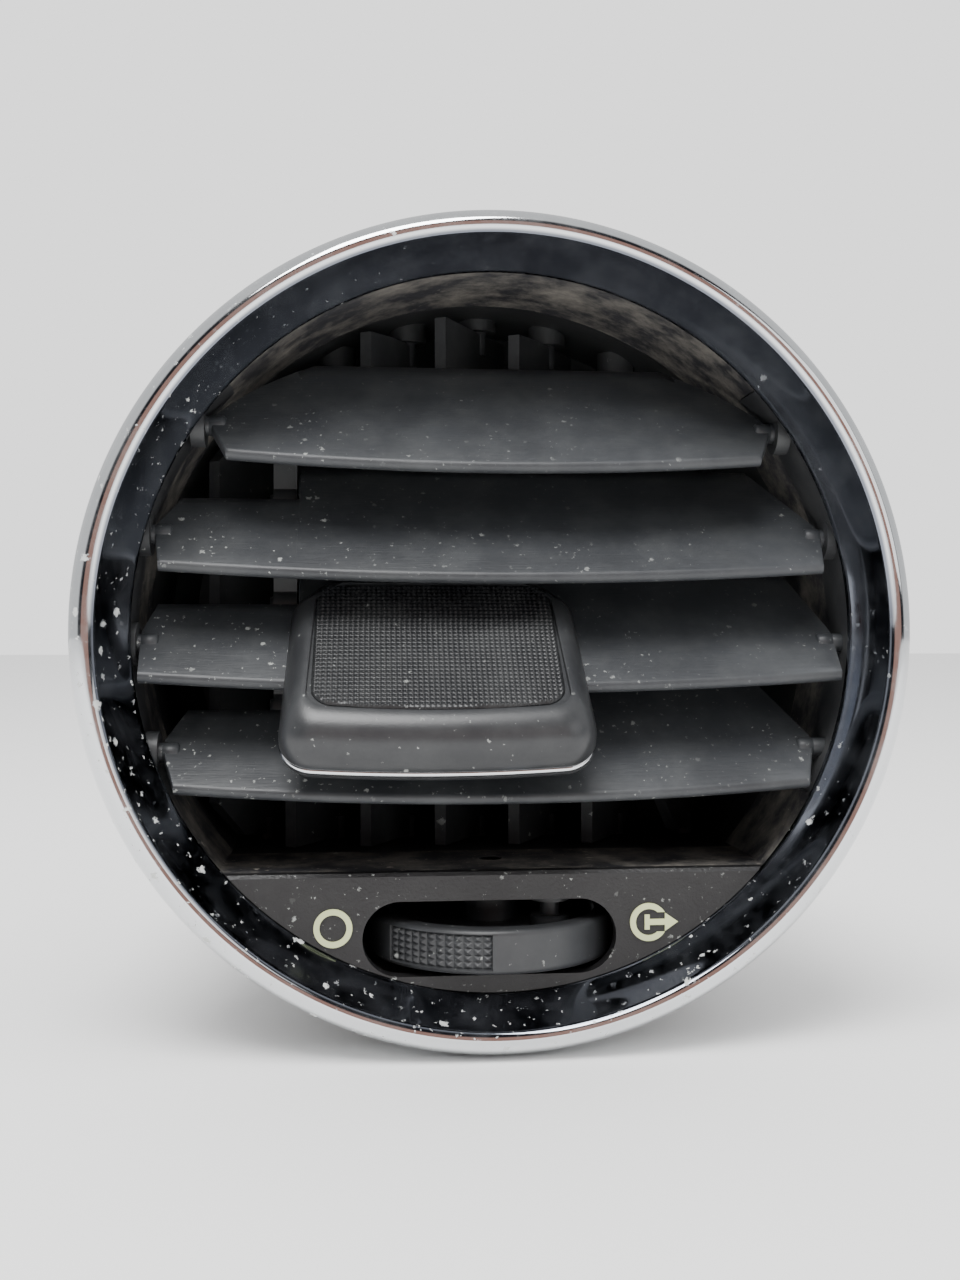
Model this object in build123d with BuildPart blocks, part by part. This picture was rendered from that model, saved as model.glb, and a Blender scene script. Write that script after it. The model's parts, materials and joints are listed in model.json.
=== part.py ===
from build123d import *
from math import cos, radians, sin, sqrt
import os

# Round dashboard air vent. The origin is on the vent's axis, in the plane of the dash.
# The face looks towards -Y, the duct leaves towards +Y, +Z is up. Lengths are in millimetres.

# ---------------------------------------------------------------- driving sizes
# Barrel and trim ring
barrel_radius = 46.4        # outside, passes through the hole in the dash
barrel_wall = 2.0
barrel_split = 16.0         # where the front housing ends and the rear one starts
barrel_end = 46.0           # outer face of the rear housing's back wall
ring_overhang = 3.6         # how far the trim ring reaches outside the barrel
ring_skirt = 3.5            # straight outer wall of the ring
ring_crest = 8.0            # how far the ring's crest stands in front of the dash
ring_crest_inset = 2.4      # the crest's circle, inside the ring's outer edge
ring_lip = 1.0              # how far the ring's lip hides the barrel's front edge
ring_wall = 1.6
barrel_front = 1.5          # how far the barrel's front edge stands in front of the dash
flange_gap = 0.15
tongue_length = 4.0         # overlap of the two housings
tongue_gap = 0.1
snap_count = 4
snap_width = 8.0
snap_start = 1.2            # behind the joint between the housings
snap_length = 1.8
snap_height = 1.4
snap_gap = 0.2
barrel_chamfer = 4.0        # round the back wall

# Louvers
louver_count = 4
louver_pitch = 13.2
louver_top_z = 25.05
louver_axis_y = 3.0
louver_tilt = 42.0          # front edge down, as at rest
louver_tilt_up = 30.0       # furthest tilt with the front edge up
louver_tilt_down = 44.7     # furthest tilt with the front edge down
louver_thickness = 1.6
louver_front = 6.5          # from the pivot to the front edge at its ends
louver_bow = 2.1            # how far the front edge bows forward in the middle
louver_rear = 13.3          # from the pivot to the rear edge
louver_end_gap = 1.4        # from the blade's ends to the barrel's inner wall
louver_rear_cut = 3.25      # how much shorter the rear edge is than it could be
louver_pin_radius = 1.2
louver_hub_radius = 1.6

# Bearing strips
strip_thickness = 1.4
strip_proud = 0.4           # how far the strips stand inside the barrel's inner wall
strip_low = -27.0           # angles of the strips' ends, from the horizontal
strip_high = 43.0
strip_depth = 8.0           # how far the strips reach behind the dash plane
boss_radius = 2.6
boss_gap = 0.25             # between a pivot boss and the end of its blade

# Link that couples the louvers
link_b = 11.0               # its pins, behind the louvers' axes
link_h = 3.2                # and below the blades' middle plane
link_x = -26.2
link_width = 3.0
link_web = 2.4
link_eye = 2.0
link_pin_radius = 1.0
link_pin_proud = 0.5        # how far the pins stand out of the link
link_gap = 0.6              # between the link and the blades' notches
lug_width = 1.4
lug_gap = 0.3               # between the link and the lugs
notch_b = 6.6               # the blades' rear left is cut away behind this for the link
notch_end = 1.2             # how much shorter the blade is at the notch than it could be

# Knob
knob_x = -7.5               # its middle at rest
knob_front_width = 37.2
knob_rear_width = 35.6
knob_front = 20.2           # nose, in front of the louver's axis
knob_rear = 8.0             # rear end, behind the louver's axis
knob_cut = 4.0              # its rear corners are cut off from here, to clear the link
knob_cut_width = 3.2
knob_bow = 1.0
knob_height = 4.0           # above and below the louver's middle plane
knob_corner = 3.8
knob_channel = 9.0          # the blade's slot ends here, in front of the louver's axis
knob_clearance = 0.4        # between the blade and the slot
knob_edge = 1.5
strip_band = 0.6            # height of the chrome strip
strip_band_low = -2.2
strip_band_width = 1.6
pad_width = 29.5
pad_front = 15.3
pad_rear = 6.4
pad_corner = 2.0
pad_thickness = 0.9
pad_proud = 0.2
fork_x = -6.0               # in line with the centre vane's post at rest
fork_gap = 3.4
fork_arm = 2.4
fork_thickness = 1.6
fork_start = 13.0           # where the fork's slot begins, behind the louver's axis
fork_end = 25.0
fork_tip = 2.2              # the arms' tips are cut off from here, to clear the next vanes
fork_tip_width = 1.4
fork_seat = 6.0             # how far the fork reaches forward into the knob
brake_size = (9.0, 4.0, 1.0)
brake_b = -3.5
brake_gap = 0.1

# Upright vanes
vane_count = 7
vane_pitch = 10.0
vane_axis_y = 30.0
vane_turn = 28.3            # front edges to the left, as at rest
vane_turn_most = 34.0
vane_thickness = 1.6
vane_front = 12.5
vane_rear = 8.0
vane_pin_radius = 1.25
vane_edge_gap = 0.3         # between a vane's end and its boss or floor
vane_boss = 1.5
vane_pin_length = 2.3       # in its upper boss
post_radius = 1.2
window_above = 20.85        # the centre vane's window, from the control louver's axis
window_below = 13.65
window_edge = 0.85          # what is left of the vane in front of the window
vane_link_s = 6.0           # the link's pins, behind the vanes' axes
vane_link_z = 22.0
vane_link_height = 2.0
vane_link_web = 2.4
vane_link_eye = 2.2

# Shelf over the thumbwheel
shelf_top = -29.0
shelf_thickness = 1.2

# Control panel
panel_front = 2.0           # in front of the dash plane
panel_top = -28.8
panel_gap = 0.1
slot_middle = -36.7
slot_height = 9.0
slot_x = -1.0
slot_side = 3.0             # from the wheel's rim to the slot's end
symbol_height = 0.25
symbol_z = -35.2
closed_x = -19.8
open_x = 18.3
symbol_radius = 2.3
symbol_stroke = 0.7

# Thumbwheel
wheel_axis_y = 9.4
wheel_radius = 15.5
wheel_low = -40.3
wheel_thickness = 5.3
wheel_hub_radius = 3.5
wheel_hub_top = -30.6
wheel_round = 0.7
axle_boss_radius = 3.5
axle_radius = 1.5
axle_floor = -41.0
crank_radius = 9.0
crank_turn = 40.0           # the crank's angle each side of the middle
crank_pin_radius = 1.2
crank_pin_proud = 0.3
crank_thickness = 2.0
crank_hub = 3.4
crank_end = 2.2
crank_web = 1.7             # half the width of the flap's crank, along Y
crank_web_x = 1.3
drive_square = 2.6          # square end of the flap's shaft

# Shut-off flap, its rod and the duct collar
collar_radius = 25.6        # outside
collar_wall = 1.6
collar_length = 20.0        # the stretch that a duct slides over
collar_stop = 1.8           # height of the bead that the duct stops at
collar_stop_width = 2.0
flap_behind = 18.0          # the flap's shaft, behind the rear housing's back wall
flap_gap = 0.25
flap_thickness = 1.6
seal_width = 1.0
seal_thickness = 2.4
shaft_radius = 2.0
shaft_boss = 3.2
shaft_boss_length = 3.0
rod_low = -33.2
rod_thickness = 2.0
rod_width = 3.2
rod_eye = 2.6
rod_gap = 0.2               # between the rod and the flap's crank
rod_play = 0.7              # above and below the rod in its slot
rod_play_x = 1.0
gasket_width = 3.9
gasket_thickness = 3.0

# Mounting clips
clip_count = 4
clip_width = 8.0
clip_thickness = 0.6
clip_reach = 2.4            # how far the relaxed clip stands out of the barrel
clip_pad_height = 0.5       # flat pads under the clips, from the barrel
clip_start = 1.5
clip_end = 14.0

running_gap = 0.06          # round a turning pin

# ---------------------------------------------------------------- sizes that follow
inner_radius = barrel_radius - barrel_wall
ring_radius = barrel_radius + ring_overhang
lip_radius = inner_radius - ring_lip
flange_radius = ring_radius - ring_wall - flange_gap
pocket_radius = inner_radius - strip_proud + strip_thickness
strip_radius = pocket_radius - strip_thickness
louver_reach = inner_radius - louver_end_gap
pivots = [louver_top_z - louver_pitch * i for i in range(louver_count)]
control_z = pivots[2]
half_blade = louver_thickness / 2
shelf_bottom = shelf_top - shelf_thickness
flap_axis_y = barrel_end + flap_behind
stop_y = flap_axis_y + shaft_boss + 2.8
collar_end = stop_y + collar_length
collar_inner = collar_radius - collar_wall
window_top = control_z + window_above
window_bottom = control_z - window_below
slot_width = 2 * (sqrt(wheel_radius**2 - wheel_axis_y**2) + slot_side)
vane_places = [vane_pitch * (i - (vane_count - 1) / 2) for i in range(vane_count)]


def chord(radius, offset):
    """Half the chord of a circle, at a distance from its centre."""
    return sqrt(radius**2 - offset**2)


def face_plane(y):
    """Plane parallel to the face, seen from the front: local x is +X, local y is +Z."""
    return Plane(origin=(0, y, 0), x_dir=(1, 0, 0), z_dir=(0, -1, 0))


def blade_plane(pivot_z, height=0.0):
    """Plane parallel to a louver's blade: local x is +X, local y runs to the rear edge."""
    tilt = radians(louver_tilt)
    lift = (0, louver_axis_y - height * sin(tilt), pivot_z + height * cos(tilt))
    return Plane(origin=lift, x_dir=(1, 0, 0), z_dir=(0, -sin(tilt), cos(tilt)))


def side_plane(pivot_z, x):
    """Plane across a louver: local x runs to the rear edge, local y is the blade's upper side."""
    tilt = radians(louver_tilt)
    return Plane(origin=(x, louver_axis_y, pivot_z), x_dir=(0, cos(tilt), sin(tilt)), z_dir=(1, 0, 0))


def vane_plane(x):
    """Upright plane of a vane: local x runs to its front edge, local y is +Z."""
    turn = radians(vane_turn)
    return Plane(origin=(x, vane_axis_y, 0), x_dir=(-sin(turn), -cos(turn), 0),
                 z_dir=(-cos(turn), sin(turn), 0))


def ring_sector(inner, outer, start, turn):
    """Sketch of a stretch of a flat ring."""
    with BuildSketch() as sector:
        with BuildLine():
            outside = CenterArc((0, 0), outer, start, turn)
            inside = CenterArc((0, 0), inner, start, turn)
            Line(outside @ 0, inside @ 0)
            Line(outside @ 1, inside @ 1)
        make_face()
    return sector.sketch


def cylinder_z(x, y, radius, low, high, mode=Mode.ADD):
    """Add an upright cylinder between two heights to the open part."""
    with Locations((x, y, (low + high) / 2)):
        Cylinder(radius, high - low, mode=mode)


def cylinder_x(y, z, radius, low, high, mode=Mode.ADD):
    """Add a cylinder along X between two places to the open part."""
    with Locations(((low + high) / 2, y, z)):
        Cylinder(radius, abs(high - low), rotation=(0, 90, 0), mode=mode)


finished = {}


def finish(name, part):
    """Label a finished piece and keep it for the export."""
    part.label = name
    finished[name] = part


# ---------------------------------------------------------------- trim ring
with BuildPart() as trim_ring:
    with BuildSketch(Plane.XY):
        with BuildLine():
            crest = (ring_radius - ring_crest_inset, -ring_crest)
            lip_front = (lip_radius, -barrel_front - 1.0)
            flank_middle = ((crest[0] + lip_front[0]) / 2 + 0.2, (crest[1] + lip_front[1]) / 2 + 0.15)
            Line((ring_radius, 0), (ring_radius, -ring_skirt))
            TangentArc((ring_radius, -ring_skirt), crest, tangent=(0, -1))
            ThreePointArc(crest, flank_middle, lip_front)
            Polyline(lip_front,
                     (lip_radius, -barrel_front),
                     (lip_radius + 2.6, -barrel_front),
                     (crest[0] - 0.2, -ring_crest + ring_wall + 0.2),
                     (ring_radius - ring_wall, -ring_skirt),
                     (ring_radius - ring_wall, 0),
                     (ring_radius, 0))
        make_face()
    revolve(axis=Axis.Y)
finish("trim_ring", trim_ring.part)

# ---------------------------------------------------------------- front housing
strip_ends = [(strip_low, strip_high - strip_low), (180.0 - strip_high, strip_high - strip_low)]
clip_pad = barrel_radius + clip_pad_height

with BuildPart() as front_housing:
    with BuildSketch(Plane.XY):
        with BuildLine():
            tongue_radius = barrel_radius - barrel_wall / 2 - tongue_gap / 2
            Polyline((inner_radius, -barrel_front),
                     (flange_radius, -barrel_front),
                     (flange_radius, 0),
                     (barrel_radius, 0),
                     (barrel_radius, barrel_split),
                     (tongue_radius, barrel_split),
                     (tongue_radius, barrel_split + tongue_length),
                     (inner_radius, barrel_split + tongue_length),
                     (inner_radius, -barrel_front))
        make_face()
    revolve(axis=Axis.Y)
    # Snap bumps on the tongue, and flat pads under the mounting clips
    with BuildSketch(face_plane(barrel_split + snap_start)):
        with PolarLocations(tongue_radius, snap_count, start_angle=45):
            Rectangle(snap_height, snap_width)
    extrude(amount=-snap_length)
    with BuildSketch(face_plane(clip_start)):
        with PolarLocations(clip_pad - 0.8, clip_count, start_angle=45):
            Rectangle(1.6, clip_width + 2)
    extrude(amount=-(clip_end - clip_start))
    # Shelf over the thumbwheel
    with BuildSketch(face_plane(0)):
        Circle(inner_radius + 0.5)
        with Locations((0, (shelf_top + shelf_bottom) / 2)):
            Rectangle(2 * inner_radius + 2, shelf_thickness, mode=Mode.INTERSECT)
    extrude(amount=-barrel_split)
    # Boss that holds the thumbwheel's axle
    cylinder_z(0, wheel_axis_y, axle_boss_radius, -inner_radius - 0.5, axle_floor)
    # Pockets for the bearing strips
    for start, turn in strip_ends:
        with BuildSketch(face_plane(-barrel_front)):
            add(ring_sector(inner_radius - 2, pocket_radius, start, turn))
        extrude(amount=-(strip_depth + barrel_front), mode=Mode.SUBTRACT)
    # Holes for the axle
    cylinder_z(0, wheel_axis_y, axle_radius, -inner_radius + 0.4, shelf_top + 0.1, mode=Mode.SUBTRACT)
finish("front_housing", front_housing.part)

# ---------------------------------------------------------------- rear housing
def vane_boss_face(x):
    """Height of the boss face that a vane's upper pin turns in."""
    return chord(inner_radius, abs(x) + boss_radius) - vane_boss


rod_x = [crank_radius * cos(radians(crank_turn)), crank_radius]

with BuildPart() as rear_housing:
    with BuildSketch(Plane.XY):
        with BuildLine():
            groove_radius = tongue_radius + tongue_gap
            Polyline((groove_radius, barrel_split),
                     (barrel_radius, barrel_split),
                     (barrel_radius, barrel_end - barrel_chamfer),
                     (barrel_radius - barrel_chamfer, barrel_end),
                     (collar_radius, barrel_end),
                     (collar_radius, stop_y - collar_stop_width),
                     (collar_radius + collar_stop, stop_y - collar_stop_width),
                     (collar_radius + collar_stop, stop_y),
                     (collar_radius, stop_y),
                     (collar_radius, collar_end),
                     (collar_inner, collar_end),
                     (collar_inner, barrel_end - barrel_wall),
                     (inner_radius - barrel_chamfer + 0.8, barrel_end - barrel_wall),
                     (inner_radius, barrel_end - barrel_chamfer - 1.2),
                     (inner_radius, barrel_split + tongue_length + tongue_gap),
                     (groove_radius, barrel_split + tongue_length + tongue_gap),
                     (groove_radius, barrel_split))
        make_face()
    revolve(axis=Axis.Y)
    # Floor under the vanes
    with BuildSketch(face_plane(barrel_split + 0.1)):
        Circle(inner_radius)
        with Locations((0, (shelf_top + shelf_bottom) / 2)):
            Rectangle(2 * inner_radius + 2, shelf_thickness, mode=Mode.INTERSECT)
    extrude(amount=-(barrel_end - barrel_wall - barrel_split))
    # Bosses for the vanes' upper pins
    for x in vane_places:
        cylinder_z(x, vane_axis_y, boss_radius, vane_boss_face(x),
                   chord(barrel_radius - 0.3, abs(x) + boss_radius))
    # Bosses for the flap's shaft
    cylinder_z(0, flap_axis_y, shaft_boss, collar_inner, collar_radius + shaft_boss_length)
    cylinder_z(0, flap_axis_y, shaft_boss, -collar_radius - shaft_boss_length, -collar_inner)
    # Clear the tongue of the front housing out of the floor, and the duct out of the bosses
    with BuildSketch(face_plane(barrel_split)):
        Circle(barrel_radius - 0.01)
        Circle(inner_radius - tongue_gap, mode=Mode.SUBTRACT)
        with Locations((0, (shelf_top + shelf_bottom) / 2)):
            Rectangle(2 * barrel_radius, 3 * shelf_thickness, mode=Mode.INTERSECT)
        Circle(groove_radius, mode=Mode.INTERSECT)
    extrude(amount=-(tongue_length + tongue_gap), mode=Mode.SUBTRACT)
    with BuildSketch(face_plane(barrel_end - barrel_wall)):
        Circle(collar_inner)
    extrude(amount=-(collar_end - barrel_end + barrel_wall), mode=Mode.SUBTRACT)
    # Bores: vane pins, flap shaft
    for x in vane_places:
        cylinder_z(x, vane_axis_y, vane_pin_radius + running_gap, vane_boss_face(x) - 1,
                   vane_boss_face(x) + vane_pin_length + 0.2, mode=Mode.SUBTRACT)
        cylinder_z(x, vane_axis_y, vane_pin_radius + running_gap, shelf_bottom - 1,
                   shelf_top + 1, mode=Mode.SUBTRACT)
    cylinder_z(0, flap_axis_y, shaft_radius + running_gap, -collar_radius - shaft_boss_length - 1,
               collar_radius + shaft_boss_length - 0.8, mode=Mode.SUBTRACT)
    # Slot for the flap's rod, and windows for the snap bumps
    with BuildSketch(face_plane(barrel_end - barrel_wall - 6)):
        with Locations(((rod_x[0] + rod_x[1]) / 2, rod_low + rod_thickness / 2)):
            Rectangle(rod_x[1] - rod_x[0] + rod_width + 2 * rod_play_x, rod_thickness + 2 * rod_play)
    extrude(amount=-9, mode=Mode.SUBTRACT)
    with BuildSketch(face_plane(barrel_split + snap_start - snap_gap)):
        with PolarLocations(barrel_radius, snap_count, start_angle=45):
            Rectangle(2 * barrel_wall, snap_width + 2 * snap_gap)
    extrude(amount=-(snap_length + 2 * snap_gap), mode=Mode.SUBTRACT)
finish("rear_housing", rear_housing.part)


# ---------------------------------------------------------------- louvers
def blade_half(pivot_z, b):
    """Half the room for a blade at a distance b behind its axis, over its whole tilt."""
    rises = (b > 0) == (pivot_z > 0)
    worst = radians(louver_tilt_down if rises else louver_tilt_up)
    if pivot_z < 0:
        worst = radians(louver_tilt_up if b > 0 else louver_tilt_down)
    return chord(louver_reach, abs(pivot_z) + abs(b) * sin(worst))


def pin_end(pivot_z):
    """Where a louver's pivot pin ends, just inside the pocket of its bearing strip."""
    return chord(pocket_radius, abs(pivot_z) + louver_pin_radius) - 0.15


def make_louver(pivot_z, notched):
    """A louver: bowed blade, pivot pins at both ends, and the lug and pin for the link."""
    front_half = blade_half(pivot_z, -louver_front)
    middle_half = blade_half(pivot_z, 0.001)
    shoulder = 1.5
    shoulder_half = blade_half(pivot_z, shoulder)
    rear_half = blade_half(pivot_z, louver_rear) - louver_rear_cut
    with BuildPart() as louver:
        with BuildSketch(blade_plane(pivot_z)):
            with BuildLine():
                ThreePointArc((-front_half, -louver_front), (0, -louver_front - louver_bow),
                              (front_half, -louver_front))
                Polyline((front_half, -louver_front), (middle_half, 0), (shoulder_half, shoulder))
                Polyline((-front_half, -louver_front), (-middle_half, 0), (-shoulder_half, shoulder))
                if notched:
                    notch_x = link_x + link_width / 2 + link_gap
                    notch_half = blade_half(pivot_z, notch_b) - notch_end
                    Line((shoulder_half, shoulder), (rear_half, louver_rear))
                    Polyline((rear_half, louver_rear), (notch_x, louver_rear), (notch_x, notch_b),
                             (-notch_half, notch_b), (-shoulder_half, shoulder))
                else:
                    half_way = (shoulder_half + rear_half) / 2 + 0.9
                    half_b = (shoulder + louver_rear) / 2 + 0.4
                    ThreePointArc((shoulder_half, shoulder), (half_way, half_b), (rear_half, louver_rear))
                    Line((rear_half, louver_rear), (-rear_half, louver_rear))
                    ThreePointArc((-shoulder_half, shoulder), (-half_way, half_b),
                                  (-rear_half, louver_rear))
            make_face()
        extrude(amount=half_blade, both=True)
        lip = louver.edges().filter_by(GeomType.CIRCLE).sort_by(Axis.Y)[:2]
        fillet(lip, radius=0.45 * louver_thickness)
        # Pivot hubs and pins
        end = pin_end(pivot_z)
        for side in (-1, 1):
            cylinder_x(louver_axis_y, pivot_z, louver_hub_radius, side * (middle_half - 4),
                       side * middle_half)
            cylinder_x(louver_axis_y, pivot_z, louver_pin_radius, side * (middle_half - 1), side * end)
        # Lug under the blade, with the link's pin
        lug_left = link_x + link_width / 2 + lug_gap
        with BuildSketch(side_plane(pivot_z, lug_left)):
            with Locations((link_b, -link_h)):
                Circle(link_eye)
            with Locations((link_b, -link_h / 2)):
                Rectangle(2 * link_eye, link_h)
        extrude(amount=lug_width)
        with BuildSketch(side_plane(pivot_z, lug_left)):
            with Locations((link_b, -link_h)):
                Circle(link_pin_radius)
        extrude(amount=-(link_width + lug_gap + link_pin_proud))
    return louver.part


louver_names = ["louver_top", "louver_upper", "louver_control", "louver_bottom"]
for number, pivot_z in enumerate(pivots):
    finish(louver_names[number], make_louver(pivot_z, notched=number > 0))


# ---------------------------------------------------------------- louver bearing strips
def make_strip(side):
    """A bearing strip with one pivot boss for each louver; side is -1 on the left, 1 on the right."""
    start, turn = strip_ends[0] if side > 0 else strip_ends[1]
    with BuildPart() as strip:
        with BuildSketch(face_plane(-barrel_front)):
            add(ring_sector(strip_radius, pocket_radius - 0.05, start + 0.1, turn - 0.2))
        extrude(amount=-(strip_depth + barrel_front - 0.1))
        for pivot_z in pivots:
            face = blade_half(pivot_z, 0.001) + boss_gap
            cylinder_x(louver_axis_y, pivot_z, boss_radius, side * face,
                       side * (chord(strip_radius, abs(pivot_z)) + 0.7))
        # Trim what stands out of the strip, then bore the bosses
        with BuildSketch(face_plane(-barrel_front)):
            add(ring_sector(inner_radius * 0.6, pocket_radius - 0.05, start + 0.1, turn - 0.2))
        extrude(amount=-(strip_depth + barrel_front - 0.1), mode=Mode.INTERSECT)
        for pivot_z in pivots:
            cylinder_x(louver_axis_y, pivot_z, louver_pin_radius + running_gap,
                       side * (blade_half(pivot_z, 0.001) - 2), side * (barrel_radius + 1),
                       mode=Mode.SUBTRACT)
    return strip.part


finish("louver_bearing_left", make_strip(-1))
finish("louver_bearing_right", make_strip(1))

# ---------------------------------------------------------------- louver link
tilt_cos = cos(radians(louver_tilt))
tilt_sin = sin(radians(louver_tilt))
link_y = louver_axis_y + link_b * tilt_cos + link_h * tilt_sin
link_rise = link_b * tilt_sin - link_h * tilt_cos

with BuildPart() as louver_link:
    link_plane = Plane(origin=(link_x - link_width / 2, 0, 0), x_dir=(0, 1, 0), z_dir=(1, 0, 0))
    with BuildSketch(link_plane):
        with Locations((link_y, (pivots[0] + pivots[-1]) / 2 + link_rise)):
            Rectangle(link_web, pivots[0] - pivots[-1])
        with Locations(*[(link_y, pivot_z + link_rise) for pivot_z in pivots]):
            Circle(link_eye)
            Circle(link_pin_radius + running_gap, mode=Mode.SUBTRACT)
    extrude(amount=link_width)
finish("louver_link", louver_link.part)


# ---------------------------------------------------------------- knob
def knob_outline(inset=0.0):
    """Sketch of the knob's plan: narrower at the rear, bowed at the nose."""
    front = knob_front_width / 2 - inset
    rear = knob_rear_width / 2 - inset
    nose = -knob_front + inset
    tail = rear - knob_cut_width
    with BuildSketch() as plan:
        with BuildLine():
            Polyline((knob_x + front, nose + knob_bow), (knob_x + rear, knob_cut),
                     (knob_x + tail, knob_rear), (knob_x - tail, knob_rear),
                     (knob_x - rear, knob_cut), (knob_x - front, nose + knob_bow))
            ThreePointArc((knob_x - front, nose + knob_bow), (knob_x, nose),
                          (knob_x + front, nose + knob_bow))
        make_face()
        corners = plan.vertices().group_by(Axis.Y)[0]
        fillet(corners, radius=knob_corner - inset)
    return plan.sketch


slot_top = half_blade + knob_clearance
band_high = strip_band_low + strip_band
control_up = Axis((0, louver_axis_y, control_z), blade_plane(control_z).z_dir)

with BuildPart() as knob_upper_shell:
    with BuildSketch(blade_plane(control_z, band_high)):
        add(knob_outline())
    extrude(amount=knob_height - band_high)
    fillet(knob_upper_shell.faces().sort_by(control_up)[-1].edges(), radius=knob_edge)
    # Slot for the blade
    with BuildSketch(blade_plane(control_z, band_high)):
        with Locations((knob_x, (knob_rear + 1 - knob_channel) / 2)):
            Rectangle(knob_front_width + 4, knob_channel + knob_rear + 1)
    extrude(amount=slot_top - band_high, mode=Mode.SUBTRACT)
    # Seats for the fork and the grip pad
    with BuildSketch(blade_plane(control_z, slot_top)):
        with Locations((fork_x, (knob_rear + 1 - fork_seat) / 2)):
            Rectangle(fork_gap + 2 * fork_arm, knob_rear + 1 + fork_seat)
    extrude(amount=fork_thickness, mode=Mode.SUBTRACT)
    with BuildSketch(blade_plane(control_z, knob_height + pad_proud - pad_thickness)):
        with Locations((knob_x, (pad_rear - pad_front) / 2)):
            RectangleRounded(pad_width, pad_front + pad_rear, pad_corner)
    extrude(amount=pad_thickness + 1, mode=Mode.SUBTRACT)
finish("knob_upper_shell", knob_upper_shell.part)

with BuildPart() as knob_grip_pad:
    with BuildSketch(blade_plane(control_z, knob_height + pad_proud - pad_thickness)):
        with Locations((knob_x, (pad_rear - pad_front) / 2)):
            RectangleRounded(pad_width, pad_front + pad_rear, pad_corner)
    extrude(amount=pad_thickness)
finish("knob_grip_pad", knob_grip_pad.part)

with BuildPart() as knob_chrome_strip:
    with BuildSketch(blade_plane(control_z, strip_band_low)):
        add(knob_outline())
    extrude(amount=strip_band)
    with BuildSketch(blade_plane(control_z, strip_band_low)):
        add(knob_outline(strip_band_width))
        with Locations((knob_x, knob_rear)):
            Rectangle(knob_rear_width - 2 * knob_cut_width - 2 * strip_band_width,
                      2 * strip_band_width + 1)
    extrude(amount=strip_band, mode=Mode.SUBTRACT)
finish("knob_chrome_strip", knob_chrome_strip.part)

with BuildPart() as knob_lower_shell:
    with BuildSketch(blade_plane(control_z, -knob_height)):
        add(knob_outline())
    extrude(amount=knob_height + strip_band_low)
    fillet(knob_lower_shell.faces().sort_by(control_up)[0].edges(), radius=1.2)
    with BuildSketch(blade_plane(control_z, strip_band_low)):
        add(knob_outline(strip_band_width))
    extrude(amount=strip_band)
    # Rail under the blade, with the seat of the brake pad
    with BuildSketch(blade_plane(control_z, band_high)):
        with Locations((knob_x, (knob_cut - knob_channel) / 2)):
            Rectangle(knob_rear_width - 2 * strip_band_width, knob_channel + knob_cut)
    extrude(amount=-slot_top - band_high)
    with BuildSketch(blade_plane(control_z, -half_blade - brake_gap)):
        with Locations((knob_x, brake_b)):
            Rectangle(brake_size[0], brake_size[1])
    extrude(amount=-brake_size[2], mode=Mode.SUBTRACT)
finish("knob_lower_shell", knob_lower_shell.part)

with BuildPart() as knob_brake_pad:
    with BuildSketch(blade_plane(control_z, -half_blade - brake_gap)):
        with Locations((knob_x, brake_b)):
            Rectangle(brake_size[0], brake_size[1])
    extrude(amount=-brake_size[2])
finish("knob_brake_pad", knob_brake_pad.part)

with BuildPart() as knob_fork:
    with BuildSketch(blade_plane(control_z, slot_top)):
        with BuildLine():
            arm = fork_gap / 2 + fork_arm
            Polyline((fork_x - arm, -fork_seat), (fork_x - arm, fork_end - fork_tip),
                     (fork_x - arm + fork_tip_width, fork_end), (fork_x + arm - fork_tip_width, fork_end),
                     (fork_x + arm, fork_end - fork_tip), (fork_x + arm, -fork_seat),
                     (fork_x - arm, -fork_seat))
        make_face()
        with Locations((fork_x, (fork_start + fork_end + 1) / 2)):
            Rectangle(fork_gap, fork_end + 1 - fork_start, mode=Mode.SUBTRACT)
    extrude(amount=fork_thickness)
finish("knob_fork", knob_fork.part)


# ---------------------------------------------------------------- upright vanes
def vane_top(x, s):
    """Highest point of a vane at a distance s in front of its axis, over its whole turn."""
    sweep = abs(s) * sin(radians(vane_turn_most)) + vane_thickness / 2
    return min(chord(inner_radius - vane_edge_gap, abs(x) + sweep), vane_boss_face(x) - vane_edge_gap)


def vane_bottom(x, s):
    """Lowest point of a vane at a distance s in front of its axis."""
    return max(-vane_top(x, s), shelf_top + vane_edge_gap)


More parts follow.
